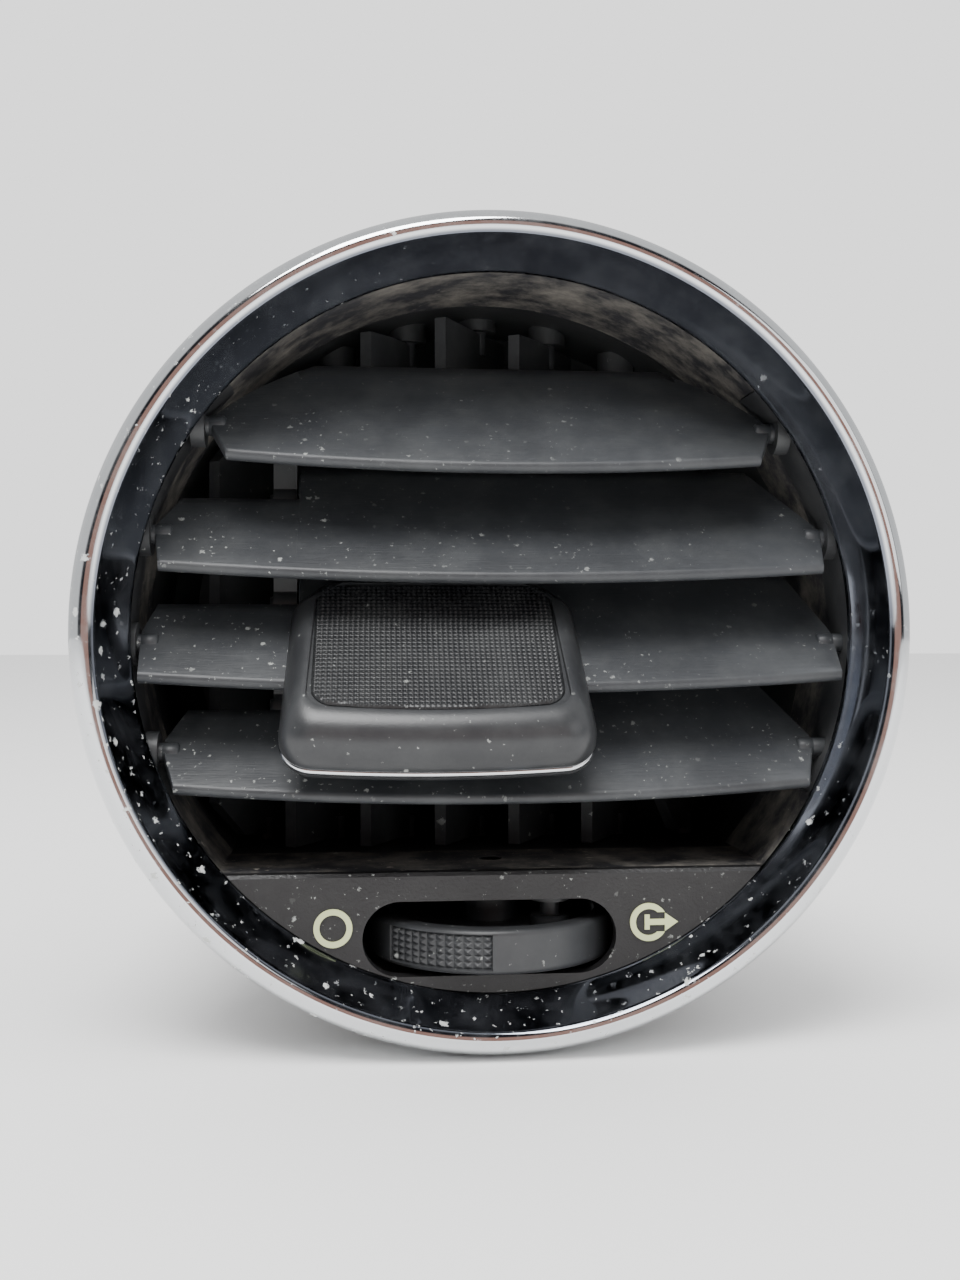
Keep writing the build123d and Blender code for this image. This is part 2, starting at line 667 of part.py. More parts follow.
def make_vane(x):
    """A vane: trimmed to the round barrel, with pivot pins and a notched pin for the link."""
    stations = [-vane_rear, 0, vane_front / 2, vane_front]
    top = [(s, vane_top(x, s)) for s in stations]
    bottom = [(s, vane_bottom(x, s)) for s in reversed(stations)]
    with BuildPart() as vane:
        with BuildSketch(vane_plane(x)):
            with BuildLine():
                Polyline(*top, *bottom, top[0])
            make_face()
            # Notch round the link
            with Locations((-vane_rear, vane_link_z)):
                notch_depth = vane_rear - vane_link_s + vane_link_eye + 0.2
                Rectangle(2 * notch_depth, vane_link_height + 0.8, mode=Mode.SUBTRACT)
            if x == 0:
                with Locations(((vane_front - window_edge) / 2, (window_top + window_bottom) / 2)):
                    Rectangle(vane_front - 2 * window_edge, window_top - window_bottom,
                              mode=Mode.SUBTRACT)
        extrude(amount=vane_thickness / 2, both=True)
        cylinder_z(x, vane_axis_y, vane_pin_radius, vane_top(x, 0) - 3,
                   vane_boss_face(x) + vane_pin_length)
        cylinder_z(x, vane_axis_y, vane_pin_radius, shelf_bottom - 0.1, shelf_top + 3)
        turn = radians(vane_turn)
        pin_x = x + vane_link_s * sin(turn)
        pin_y = vane_axis_y + vane_link_s * cos(turn)
        cylinder_z(pin_x, pin_y, link_pin_radius, vane_link_z - 1.9, vane_link_z + 1.9)
        if x == 0:
            post_x = -vane_front * sin(turn)
            post_y = vane_axis_y - vane_front * cos(turn)
            cylinder_z(post_x, post_y, post_radius, window_bottom - 1, window_top + 1)
    return vane.part


for number, x in enumerate(vane_places):
    finish("vane_" + str(number + 1), make_vane(x))

vane_link_dx = vane_link_s * sin(radians(vane_turn))
vane_link_y = vane_axis_y + vane_link_s * cos(radians(vane_turn))

with BuildPart() as vane_link:
    with BuildSketch(Plane.XY.offset(vane_link_z - vane_link_height / 2)):
        with Locations((vane_link_dx, vane_link_y)):
            Rectangle(vane_places[-1] - vane_places[0], vane_link_web)
        with Locations(*[(x + vane_link_dx, vane_link_y) for x in vane_places]):
            Circle(vane_link_eye)
            Circle(link_pin_radius + running_gap, mode=Mode.SUBTRACT)
    extrude(amount=vane_link_height)
finish("vane_link", vane_link.part)

# ---------------------------------------------------------------- control panel
with BuildPart() as control_panel:
    with BuildSketch(face_plane(-panel_front)):
        Circle(lip_radius - panel_gap)
        with Locations((0, panel_top - barrel_radius)):
            Rectangle(2 * barrel_radius, 2 * barrel_radius, mode=Mode.INTERSECT)
    extrude(amount=-panel_front)
    with BuildSketch(face_plane(-barrel_front + panel_gap)):
        Circle(inner_radius - panel_gap)
        with Locations((0, panel_top - barrel_radius)):
            Rectangle(2 * barrel_radius, 2 * barrel_radius, mode=Mode.INTERSECT)
    extrude(amount=-(barrel_front - panel_gap))
    top_edge = control_panel.edges().filter_by(Axis.X).group_by(Axis.Z)[-1].sort_by(Axis.Y)[0]
    chamfer(top_edge, length=0.4)
    with BuildSketch(face_plane(-panel_front)):
        with Locations((slot_x, slot_middle)):
            SlotOverall(slot_width, slot_height)
    extrude(amount=-panel_front, mode=Mode.SUBTRACT)
finish("control_panel", control_panel.part)

with BuildPart() as closed_symbol:
    with BuildSketch(face_plane(-panel_front)):
        with Locations((closed_x, symbol_z)):
            Circle(symbol_radius)
            Circle(symbol_radius - symbol_stroke, mode=Mode.SUBTRACT)
    extrude(amount=symbol_height)
finish("closed_symbol", closed_symbol.part)

with BuildPart() as open_symbol:
    with BuildSketch(face_plane(-panel_front)):
        with Locations((open_x, symbol_z)):
            Circle(symbol_radius)
            Circle(symbol_radius - symbol_stroke, mode=Mode.SUBTRACT)
        with Locations((open_x + symbol_radius, symbol_z)):
            Rectangle(2.4, 2.4, mode=Mode.SUBTRACT)
        with Locations((open_x + 1.1, symbol_z)):
            Rectangle(2.2, symbol_stroke)
        with BuildLine():
            Polyline((open_x + 2.0, symbol_z + 1.1), (open_x + 3.6, symbol_z),
                     (open_x + 2.0, symbol_z - 1.1), (open_x + 2.0, symbol_z + 1.1))
        make_face()
        with Locations((open_x - 0.2, symbol_z)):
            Rectangle(0.6, 1.8)
    extrude(amount=symbol_height)
finish("open_symbol", open_symbol.part)

# ---------------------------------------------------------------- thumbwheel and its axle
wheel_top = wheel_low + wheel_thickness
crank_x = crank_radius * cos(radians(crank_turn))
crank_y = -crank_radius * sin(radians(crank_turn))
rod_top = rod_low + rod_thickness

with BuildPart() as thumbwheel:
    cylinder_z(0, wheel_axis_y, wheel_radius, wheel_low, wheel_top)
    rims = thumbwheel.edges().filter_by(GeomType.CIRCLE)
    fillet(rims, radius=wheel_round)
    cylinder_z(0, wheel_axis_y, wheel_hub_radius, wheel_top - 1, wheel_hub_top)
    cylinder_z(crank_x, wheel_axis_y + crank_y, crank_pin_radius, wheel_top - 1, rod_top + crank_pin_proud)
    cylinder_z(0, wheel_axis_y, axle_radius + running_gap, wheel_low - 1, wheel_hub_top + 1,
               mode=Mode.SUBTRACT)
finish("thumbwheel", thumbwheel.part)

with BuildPart() as thumbwheel_axle:
    cylinder_z(0, wheel_axis_y, axle_radius, -inner_radius + 0.4, shelf_top)
    ends = thumbwheel_axle.edges().filter_by(GeomType.CIRCLE)
    chamfer(ends, length=0.3)
finish("thumbwheel_axle", thumbwheel_axle.part)

# ---------------------------------------------------------------- rod, flap, seal and crank
crank_low = rod_top + rod_gap
crank_high = crank_low + crank_thickness

with BuildPart() as flap_link:
    with BuildSketch(Plane.XY.offset(rod_low)):
        with Locations((crank_x, (wheel_axis_y + flap_axis_y) / 2 + crank_y)):
            Rectangle(rod_width, flap_axis_y - wheel_axis_y)
        with Locations((crank_x, wheel_axis_y + crank_y), (crank_x, flap_axis_y + crank_y)):
            Circle(rod_eye)
            Circle(crank_pin_radius + running_gap, mode=Mode.SUBTRACT)
    extrude(amount=rod_thickness)
finish("flap_link", flap_link.part)

disc_radius = collar_inner - flap_gap - seal_width

with BuildPart() as flap_disc:
    with BuildSketch(face_plane(flap_axis_y - flap_thickness / 2)):
        Circle(disc_radius)
    extrude(amount=-flap_thickness)
    cylinder_z(0, flap_axis_y, shaft_radius, crank_high, collar_radius + shaft_boss_length - 1.2)
    with BuildSketch(Plane.XY.offset(crank_low + 0.2)):
        with Locations((0, flap_axis_y)):
            Rectangle(drive_square, drive_square)
    extrude(amount=crank_high - crank_low)
finish("flap_disc", flap_disc.part)

with BuildPart() as flap_seal:
    with BuildSketch(face_plane(flap_axis_y - seal_thickness / 2)):
        Circle(disc_radius + seal_width)
        Circle(disc_radius - 1.0, mode=Mode.SUBTRACT)
    extrude(amount=-seal_thickness)
    with BuildSketch(face_plane(flap_axis_y - flap_thickness / 2)):
        Circle(disc_radius)
    extrude(amount=-flap_thickness, mode=Mode.SUBTRACT)
    cylinder_z(0, flap_axis_y, shaft_radius, -collar_radius, collar_radius, mode=Mode.SUBTRACT)
finish("flap_seal", flap_seal.part)

with BuildPart() as flap_crank:
    with BuildSketch(Plane.XY.offset(crank_low)):
        with Locations((0, flap_axis_y)):
            Circle(crank_hub)
        with Locations((crank_x, flap_axis_y + crank_y)):
            Circle(crank_end)
        with BuildLine():
            Polyline((-crank_web_x, flap_axis_y - crank_web),
                     (crank_x - crank_web_x, flap_axis_y + crank_y - crank_web),
                     (crank_x + crank_web_x, flap_axis_y + crank_y + crank_web),
                     (crank_web_x, flap_axis_y + crank_web),
                     (-crank_web_x, flap_axis_y - crank_web))
        make_face()
    extrude(amount=crank_high - crank_low)
    with BuildSketch(Plane.XY.offset(crank_low)):
        with Locations((0, flap_axis_y)):
            Rectangle(drive_square, drive_square)
    extrude(amount=crank_high - crank_low, mode=Mode.SUBTRACT)
    cylinder_z(crank_x, flap_axis_y + crank_y, crank_pin_radius, rod_low - crank_pin_proud, crank_high - 0.5)
finish("flap_crank", flap_crank.part)

# ---------------------------------------------------------------- gasket and clips
with BuildPart() as duct_gasket:
    with BuildSketch(face_plane(barrel_end)):
        Circle(collar_radius + gasket_width)
        Circle(collar_radius, mode=Mode.SUBTRACT)
    extrude(amount=-gasket_thickness)
finish("duct_gasket", duct_gasket.part)

clip_base = clip_pad + clip_thickness / 2

with BuildPart() as mounting_clips:
    for number in range(clip_count):
        angle = radians(45 + 360 * number / clip_count)
        clip_plane = Plane(origin=(0, 0, 0), x_dir=(cos(angle), 0, sin(angle)),
                           z_dir=(-sin(angle), 0, cos(angle)))
        with BuildSketch(clip_plane):
            with BuildLine():
                Polyline((clip_base, clip_end - 1), (clip_base, clip_start + 0.5),
                         (clip_base + clip_reach, clip_start + 5), (clip_base + 1.3, clip_end - 0.5))
            trace(line_width=clip_thickness)
        extrude(amount=clip_width / 2, both=True)
finish("mounting_clips", mounting_clips.part)

# ---------------------------------------------------------------- export
os.makedirs("parts", exist_ok=True)
for name, part in finished.items():
    export_step(part, "parts/" + name + ".step")
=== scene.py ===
import json
from math import cos, pi, radians, sin

import bpy
import numpy as np
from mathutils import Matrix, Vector


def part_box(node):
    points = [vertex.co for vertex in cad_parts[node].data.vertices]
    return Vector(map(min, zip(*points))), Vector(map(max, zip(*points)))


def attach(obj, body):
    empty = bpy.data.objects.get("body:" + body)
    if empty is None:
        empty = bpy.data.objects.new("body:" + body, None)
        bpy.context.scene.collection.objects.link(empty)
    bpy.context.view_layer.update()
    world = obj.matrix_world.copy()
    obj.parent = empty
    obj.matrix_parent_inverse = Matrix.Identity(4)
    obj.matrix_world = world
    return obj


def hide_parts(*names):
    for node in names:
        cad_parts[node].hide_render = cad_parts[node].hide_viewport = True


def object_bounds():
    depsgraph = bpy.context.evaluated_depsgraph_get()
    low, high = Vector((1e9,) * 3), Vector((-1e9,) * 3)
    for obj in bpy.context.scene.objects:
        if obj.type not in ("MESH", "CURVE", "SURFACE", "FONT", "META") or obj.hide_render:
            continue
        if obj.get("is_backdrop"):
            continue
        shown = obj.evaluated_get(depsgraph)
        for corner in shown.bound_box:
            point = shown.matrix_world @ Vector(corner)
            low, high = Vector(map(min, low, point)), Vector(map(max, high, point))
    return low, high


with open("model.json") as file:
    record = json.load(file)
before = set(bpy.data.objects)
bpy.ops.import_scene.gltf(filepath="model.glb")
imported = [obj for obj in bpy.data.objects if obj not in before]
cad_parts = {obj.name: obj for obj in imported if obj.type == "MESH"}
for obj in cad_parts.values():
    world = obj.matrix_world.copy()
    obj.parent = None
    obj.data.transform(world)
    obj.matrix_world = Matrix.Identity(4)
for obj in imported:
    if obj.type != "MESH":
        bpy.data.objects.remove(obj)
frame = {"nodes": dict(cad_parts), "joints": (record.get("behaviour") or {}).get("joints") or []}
cad_low, cad_high = (list(corner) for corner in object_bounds())

MM = 0.001

# ------------------------------------------------------------------ sizes from the frame
joints = {joint["name"]: joint for joint in frame["joints"]}


def pivot_of(joint):
    """A joint's place at rest."""
    return Vector(joints[joint]["pos_m"])


RING_LOW, RING_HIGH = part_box("trim_ring")
RING_RADIUS = RING_HIGH.x
CREST = RING_LOW.y
BARREL_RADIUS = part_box("rear_housing")[1].x
BARREL_WALL = 2.0 * MM
INNER_RADIUS = BARREL_RADIUS - BARREL_WALL
LIP_RADIUS = INNER_RADIUS - 1.0 * MM

LOUVER_TILT = radians(42.0)
LOUVER_REACH = INNER_RADIUS - 1.4 * MM
LOUVER_THICKNESS = 1.6 * MM
LOUVER_FRONT = 6.5 * MM
LOUVER_BOW = 2.1 * MM
LOUVER_REAR = 13.3 * MM
TILT_UP = radians(30.0)
TILT_DOWN = radians(44.7)
NOTCH_B = 6.6 * MM
LINK_B = 11.0 * MM
LINK_H = 3.2 * MM

KNOB_LOW, KNOB_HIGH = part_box("knob_upper_shell")
KNOB_X = (KNOB_LOW.x + KNOB_HIGH.x) / 2
KNOB_FRONT = 20.2 * MM
KNOB_REAR = 8.0 * MM
KNOB_CUT = 4.0 * MM
KNOB_CUT_WIDTH = 3.2 * MM
KNOB_WIDTH = KNOB_HIGH.x - KNOB_LOW.x

WHEEL_LOW, WHEEL_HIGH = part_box("thumbwheel")
WHEEL_AXIS = pivot_of("wheel_turn")


# ------------------------------------------------------------------ meshes from arrays
def grid_shell(grid, loop=True, ring=False, caps=True):
    """Skin over a grid of points. Each row is a section, closed round when loop is true; the last row
    joins the first when ring is true; caps closes the end rows with a fan to their middle."""
    rows, columns = grid.shape[:2]
    index = np.arange(rows * columns).reshape(rows, columns)
    if ring:
        index = np.vstack([index, index[:1]])
    if loop:
        index = np.hstack([index, index[:, :1]])
    quads = np.stack([index[:-1, :-1], index[:-1, 1:], index[1:, 1:], index[1:, :-1]], axis=-1)
    quads = quads.reshape(-1, 4)
    points = grid.reshape(-1, 3)
    fans = np.zeros((0, 3), int)
    if caps and not ring:
        points = np.vstack([points, grid[[0, -1]].mean(axis=1)])
        middle = np.full(index.shape[1] - 1, rows * columns)
        first = np.stack([index[0, 1:], index[0, :-1], middle], axis=-1)
        last = np.stack([index[-1, :-1], index[-1, 1:], middle + 1], axis=-1)
        fans = np.vstack([first, last])
    return points, quads, fans


def facing_out(shell):
    """The shell with its faces turned round if its signed volume, the sum of the determinants of its
    triangles' corners, is negative."""
    points, quads, fans = shell
    triangles = np.vstack([quads[:, [0, 1, 2]], quads[:, [0, 2, 3]], fans])
    a, b, c = (points[triangles[:, k]] for k in range(3))
    if np.einsum("ij,ij->i", a, np.cross(b, c)).sum() < 0:
        return points, quads[:, ::-1], fans[:, ::-1]
    return shell


def make_piece(name, shells, material, body, replaced=(), sharp=40.0):
    """One object from closed shells, smooth except across edges sharper than the given angle."""
    points, faces, start = [], [], 0
    for shell in shells:
        corners, quads, fans = facing_out(shell)
        points.append(corners)
        faces += (quads + start).tolist() + (fans + start).tolist()
        start += len(corners)
    mesh = bpy.data.meshes.new(name)
    mesh.from_pydata(np.vstack(points).tolist(), [], faces)
    mesh.validate()
    mesh.shade_smooth()
    mesh.set_sharp_from_angle(angle=radians(sharp))
    mesh.materials.append(material)
    piece = bpy.data.objects.new(name, mesh)
    bpy.context.scene.collection.objects.link(piece)
    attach(piece, body)
    if replaced:
        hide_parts(*replaced)
    return piece


def turned(profile, count):
    """Turned shell: a closed profile of (radius, place along Y), carried round the Y axis."""
    angle = np.linspace(0, 2 * pi, count, endpoint=False)[:, None]
    across = profile[None, :, 0] * np.cos(angle)
    up = profile[None, :, 0] * np.sin(angle)
    place = np.broadcast_to(profile[None, :, 1], across.shape)
    return grid_shell(np.stack([across, place, up], axis=-1), ring=True)


def arc(centre, radii, start, end, count):
    """Points on an ellipse's arc between two angles, in degrees."""
    angle = np.radians(np.linspace(start, end, count))
    return np.stack([centre[0] + radii[0] * np.cos(angle), centre[1] + radii[1] * np.sin(angle)], axis=-1)


def pin(centre, radius, length, along="x", edge=0.15 * MM):
    """Round pin with a small chamfer at each end: rows at its ends, carried round its axis."""
    half = length / 2
    radii = np.array([radius - edge, radius, radius, radius - edge])
    places = np.array([-half, -half + edge, half - edge, half])
    angle = np.linspace(0, 2 * pi, 32, endpoint=False)
    across = radii[:, None] * np.cos(angle)
    up = radii[:, None] * np.sin(angle)
    place = np.broadcast_to(places[:, None], across.shape)
    order = {"x": [place, across, up], "z": [across, up, place]}[along]
    return grid_shell(np.stack(order, axis=-1) + np.asarray(centre))


def tilted(grid, pivot):
    """From a louver's own coordinates (along X, behind the axis, above the blade) to the frame's."""
    x, b, h = grid[..., 0], grid[..., 1], grid[..., 2]
    y = pivot.y + b * cos(LOUVER_TILT) - h * sin(LOUVER_TILT)
    z = pivot.z + b * sin(LOUVER_TILT) + h * cos(LOUVER_TILT)
    return np.stack([x + pivot.x, y, z], axis=-1)


# ------------------------------------------------------------------ materials
def colour(code):
    """An sRGB hex colour as linear RGBA."""
    parts = np.array([int(code[k:k + 2], 16) / 255 for k in (1, 3, 5)])
    linear = np.where(parts <= 0.04045, parts / 12.92, ((parts + 0.055) / 1.055) ** 2.4)
    return (*linear.tolist(), 1.0)


def node(tree, kind, links=None, **settings):
    """Add a node. Settings name its properties or, with their spaces as underscores, its inputs; links
    join its inputs, by name or number, to other nodes' outputs."""
    added = tree.nodes.new(kind)
    for key, value in settings.items():
        if hasattr(added, key):
            setattr(added, key, value)
        else:
            added.inputs[key.replace("_", " ")].default_value = value
    for key, output in (links or {}).items():
        tree.links.new(output, added.inputs[key])
    return added


def ramp(tree, source, low, high):
    """0 below low, 1 above high, and straight between."""
    return node(tree, "ShaderNodeMapRange", {"Value": source}, From_Min=low, From_Max=high).outputs[0]


def times(tree, a, b):
    """Product of two outputs, or of an output and a number."""
    if isinstance(b, (int, float)):
        made = node(tree, "ShaderNodeMath", {0: a}, operation="MULTIPLY")
        made.inputs[1].default_value = b
        return made.outputs[0]
    return node(tree, "ShaderNodeMath", {0: a, 1: b}, operation="MULTIPLY").outputs[0]


def plus(tree, a, b):
    """Sum of two outputs."""
    return node(tree, "ShaderNodeMath", {0: a, 1: b}, operation="ADD").outputs[0]


def larger(tree, a, b):
    """The larger of two outputs."""
    return node(tree, "ShaderNodeMath", {0: a, 1: b}, operation="MAXIMUM").outputs[0]


def mix(tree, factor, first, second):
    """First where factor is 0, second where it is 1. Each is an output or a plain RGBA colour."""
    links = {"Factor": factor}
    links.update({socket: given for socket, given in ((6, first), (7, second))
                  if not isinstance(given, tuple)})
    made = node(tree, "ShaderNodeMix", links, data_type="RGBA")
    for socket, given in ((6, first), (7, second)):
        if isinstance(given, tuple):
            made.inputs[socket].default_value = given
    return made.outputs[2]


DUST_LEAN = (-2.4, 0.0, -3.0)  # how much thicker the dust lies to the left and below, per metre


def dust(tree, place, amount, speck):
    """Dust: specks of about the given size in mm, one to a cell and most cells bare, their outlines bent
    by noise and their sizes uneven, denser in patches and low on the left, as settled dust is. Gives how
    much of each point is covered."""
    ragged = node(tree, "ShaderNodeTexNoise", {"Vector": place}, Scale=1000 / speck, Detail=3.0,
                  Roughness=0.7)
    moved = node(tree, "ShaderNodeVectorMath", {0: ragged.outputs["Color"], 2: place},
                 operation="MULTIPLY_ADD")
    moved.inputs[1].default_value = (2.8 * speck * MM,) * 3
    bent = moved.outputs[0]
    cells = node(tree, "ShaderNodeTexVoronoi", {"Vector": bent}, Scale=1000 / (speck * 3.0))
    fine = node(tree, "ShaderNodeTexVoronoi", {"Vector": bent}, Scale=1000 / (speck * 1.15))
    patch = node(tree, "ShaderNodeTexNoise", {"Vector": place}, Scale=90.0, Detail=5.0, Roughness=0.7)
    shade = node(tree, "ShaderNodeSeparateColor", {0: cells.outputs["Color"]})
    grain = node(tree, "ShaderNodeSeparateColor", {0: fine.outputs["Color"]})
    span = plus(tree, cells.outputs["Distance"], shade.outputs[2])
    gap = plus(tree, fine.outputs["Distance"], grain.outputs[2])
    near = ramp(tree, span, 0.42, 0.30)
    close = ramp(tree, gap, 0.50, 0.34)
    chosen = ramp(tree, shade.outputs[0], 1.0 - 0.42 * amount, 1.0 - 0.30 * amount)
    picked = ramp(tree, grain.outputs[1], 1.0 - 0.36 * amount, 1.0 - 0.24 * amount)
    lean = node(tree, "ShaderNodeVectorMath", {0: place}, operation="DOT_PRODUCT")
    lean.inputs[1].default_value = DUST_LEAN
    patches = ramp(tree, plus(tree, patch.outputs[0], lean.outputs["Value"]), 0.36, 0.64)
    return times(tree, larger(tree, times(tree, near, chosen), times(tree, close, picked)), patches)


def finish_material(name, base, roughness, metallic=0.0, grain=0.0, grain_size=0.5, stretch=(1, 1, 1),
                    dusty=0.0, speck=0.55, film=0.0, mottle=0.25, dust_and_painted_light_tint="#9a9c98", painted_reflection_inside=None):
    """A moulded or plated surface: a base colour that varies a little, a fine grain as bump whose size is
    in mm and may be stretched along one axis, and settled dust that is paler and rougher. Inside the
    radius that the last argument gives, its colour takes over: a painted reflection of a dark room, not a
    duller finish."""
    material = bpy.data.materials.new(name)
    material.use_nodes = True
    tree = material.node_tree
    tree.nodes.clear()
    place = node(tree, "ShaderNodeTexCoord").outputs["Object"]
    drawn = node(tree, "ShaderNodeMapping", {"Vector": place}, Scale=stretch).outputs[0]
    shade = node(tree, "ShaderNodeTexNoise", {"Vector": place}, Scale=45.0, Detail=4.0, Roughness=0.6)
    dark = tuple(channel * (1 - mottle) for channel in colour(base)[:3]) + (1.0,)
    light = tuple(min(channel * (1 + mottle), 1.0) for channel in colour(base)[:3]) + (1.0,)
    tint = mix(tree, ramp(tree, shade.outputs[0], 0.3, 0.7), dark, light)
    surface = node(tree, "ShaderNodeBsdfPrincipled")
    surface.inputs["Metallic"].default_value = metallic
    rough = node(tree, "ShaderNodeMapRange", {"Value": shade.outputs[0]}, To_Min=roughness * 0.85,
                 To_Max=roughness * 1.2).outputs[0]
    # Painted reflection: inside the given radius the base colour turns to a dark slate that stands in for
    # the dark room mirrored in the chrome.
    if painted_reflection_inside:
        parts = node(tree, "ShaderNodeSeparateXYZ", {0: place})
        flat = node(tree, "ShaderNodeCombineXYZ", {0: parts.outputs[0], 1: parts.outputs[2]})
        radius = node(tree, "ShaderNodeVectorMath", {0: flat.outputs[0]}, operation="LENGTH")
        within = ramp(tree, radius.outputs["Value"], painted_reflection_inside[0], painted_reflection_inside[0] - 0.3 * MM)
        tint = mix(tree, within, tint, colour(painted_reflection_inside[1]))
    if dusty or film:
        cover = dust(tree, place, dusty, speck)
        # The film is a pale haze; made heavy, as on the barrel, it is partly dust and partly painted light
        # that brightens a shaded wall.
        if film:
            veil = node(tree, "ShaderNodeTexNoise", {"Vector": place}, Scale=160.0, Detail=6.0,
                        Roughness=0.7)
            haze = times(tree, ramp(tree, veil.outputs[0], 0.42, 0.75), film)
            cover = larger(tree, cover, haze)
        tint = mix(tree, cover, tint, colour(dust_and_painted_light_tint))
        rougher = node(tree, "ShaderNodeMix", {0: cover, 2: rough}, data_type="FLOAT")
        rougher.inputs[3].default_value = 0.85
        rough = rougher.outputs[0]
        if metallic:
            bare = node(tree, "ShaderNodeMapRange", {"Value": cover}, To_Min=metallic, To_Max=0.0)
            tree.links.new(bare.outputs[0], surface.inputs["Metallic"])
    tree.links.new(tint, surface.inputs["Base Color"])
    tree.links.new(rough, surface.inputs["Roughness"])
    if grain:
        pitted = node(tree, "ShaderNodeTexNoise", {"Vector": drawn}, Scale=1000 / grain_size, Detail=3.0,
                      Roughness=0.6)
        bump = node(tree, "ShaderNodeBump", {"Height": pitted.outputs[0]}, Strength=1.0)
        bump.inputs["Distance"].default_value = grain * MM
        tree.links.new(bump.outputs[0], surface.inputs["Normal"])
    node(tree, "ShaderNodeOutputMaterial", {"Surface": surface.outputs[0]})
    return material


# Chrome-plated ABS: mirror-bright, with dust settled on it that breaks the reflections, and a painted dark
# reflection, in slate, on the inner flank of the ring.
chrome = finish_material("chrome_plated_abs", "#d4d6d8", 0.055, metallic=1.0, mottle=0.02, dusty=1.0,
                         speck=0.5, film=0.10, dust_and_painted_light_tint="#c6c8c4",
                         painted_reflection_inside=(RING_RADIUS - 2.95 * MM, "#757982"))
chrome_band = finish_material("chrome_plated_band", "#dcdee0", 0.07, metallic=1.0, mottle=0.02)
# Moulded, talc-filled PP: matt, with a fine grain drawn out along the louvers, and dust specks.
louver_pp = finish_material("moulded_pp_louvers", "#313336", 0.42, grain=0.03, grain_size=0.35,
                            stretch=(0.12, 1, 1), dusty=0.7, speck=0.34, film=0.07)
# Moulded PP of the barrel: darker and matt, under a heavy pale brownish film that is partly dust and
# partly painted light, brightening its shaded upper wall as bounce light would.
barrel_pp = finish_material("moulded_pp_barrel", "#37373a", 0.62, grain=0.04, grain_size=0.6, dusty=0.7,
                            speck=0.45, film=0.75, dust_and_painted_light_tint="#a39d92")
housing_pp = finish_material("moulded_pp_rear_housing", "#2b2c2d", 0.55, grain=0.03, grain_size=0.8,
                             dusty=0.1, film=0.04)
# Grained ABS/PC of the panel: leather-like pits that catch the light.
panel_abs = finish_material("grained_abs_panel", "#1d1c1d", 0.44, grain=0.10, grain_size=0.5, dusty=0.7,
                            speck=0.36, film=0.03)
# Soft-touch satin ABS of the knob: an even, slightly greasy sheen.
knob_abs = finish_material("satin_abs_knob", "#2b2c2e", 0.30, grain=0.012, grain_size=0.25, dusty=0.18,
                           speck=0.28, film=0.05, mottle=0.12)
# Moulded rubber of the grip pad: deep black, with a dull shine on its pimples.
grip_rubber = finish_material("moulded_tpe_grip", "#1e1f21", 0.34, dusty=0.12, speck=0.3, film=0.06)
wheel_abs = finish_material("satin_abs_thumbwheel", "#303133", 0.40, grain=0.012, grain_size=0.25,
                            dusty=0.22, speck=0.3, film=0.04, mottle=0.12)
vane_pp = finish_material("moulded_pp_vanes", "#2a2b2d", 0.55, grain=0.02, grain_size=0.4, dusty=0.2,
                          film=0.08)
link_pom = finish_material("moulded_pom_links", "#343536", 0.38, grain=0.008, grain_size=0.3, dusty=0.15)
bearing_pom = finish_material("moulded_pom_bearings", "#333436", 0.45, grain=0.02, grain_size=0.4,
                              dusty=0.4, speck=0.4, film=0.12)
# Screen-printed ink: flat and pale yellow-green, a little worn.
symbol_ink = finish_material("screen_printed_ink", "#cdd3a0", 0.6, mottle=0.10, dusty=0.15, speck=0.25)
# Open-cell PU foam: pitted and dull.
gasket_foam = finish_material("open_cell_pu_foam", "#333333", 0.95, grain=0.5, grain_size=1.0, mottle=0.35)
seal_epdm = finish_material("moulded_epdm_seal", "#242424", 0.65, grain=0.02, grain_size=0.4)
# Phosphated spring steel: grey and rolled, with a dull shine along the strip.
clip_steel = finish_material("phosphated_spring_steel", "#7d7e80", 0.34, metallic=1.0, grain=0.01,
                             grain_size=0.2, stretch=(1, 0.1, 1), mottle=0.12)
axle_steel = finish_material("ground_steel_axle", "#b0b1b2", 0.22, metallic=1.0, grain=0.004,
                             grain_size=0.15, mottle=0.05)
brake_felt = finish_material("pressed_wool_felt", "#565656", 0.95, grain=0.15, grain_size=0.25)

# ------------------------------------------------------------------ trim ring
SKIRT = 3.5 * MM
CREST_INSET = 2.4 * MM
CREST_ROUND = 1.35 * MM


def ring_profile():
    """Half section of the trim ring: quarter ellipse from the skirt to the crest, a small round over the
    crest, a slightly hollow flank to the lip, a rounded lip, and the inside of the plated shell."""
    crest_radius = RING_RADIUS - CREST_INSET
    brow = arc((crest_radius, -SKIRT), (CREST_INSET, -CREST - SKIRT), 0, -90, 14)
    over = arc((crest_radius, CREST + CREST_ROUND), (CREST_ROUND, CREST_ROUND), -90, -143, 8)[1:]
    lip = arc((LIP_RADIUS + 0.5 * MM, -2.0 * MM), (0.5 * MM, 0.5 * MM), -143, -180, 6)
    along = np.linspace(0, 1, 22)[1:-1, None]
    flank = over[-1] * (1 - along) + lip[0] * along
    hollow = 0.22 * MM * np.sin(pi * along) * np.array([0.8, 0.6])
    inside = np.array([
        (LIP_RADIUS, -1.52 * MM), (LIP_RADIUS + 2.6 * MM, -1.52 * MM),
        (crest_radius - 0.2 * MM, CREST + 1.8 * MM), (RING_RADIUS - 1.6 * MM, -SKIRT),
        (RING_RADIUS - 1.6 * MM, 0.0), (RING_RADIUS, 0.0)])
    return np.vstack([brow, over, flank + hollow, lip, inside])


make_piece("trim_ring_plated", [turned(ring_profile(), 384)], chrome, "housing",
           ["trim_ring"])


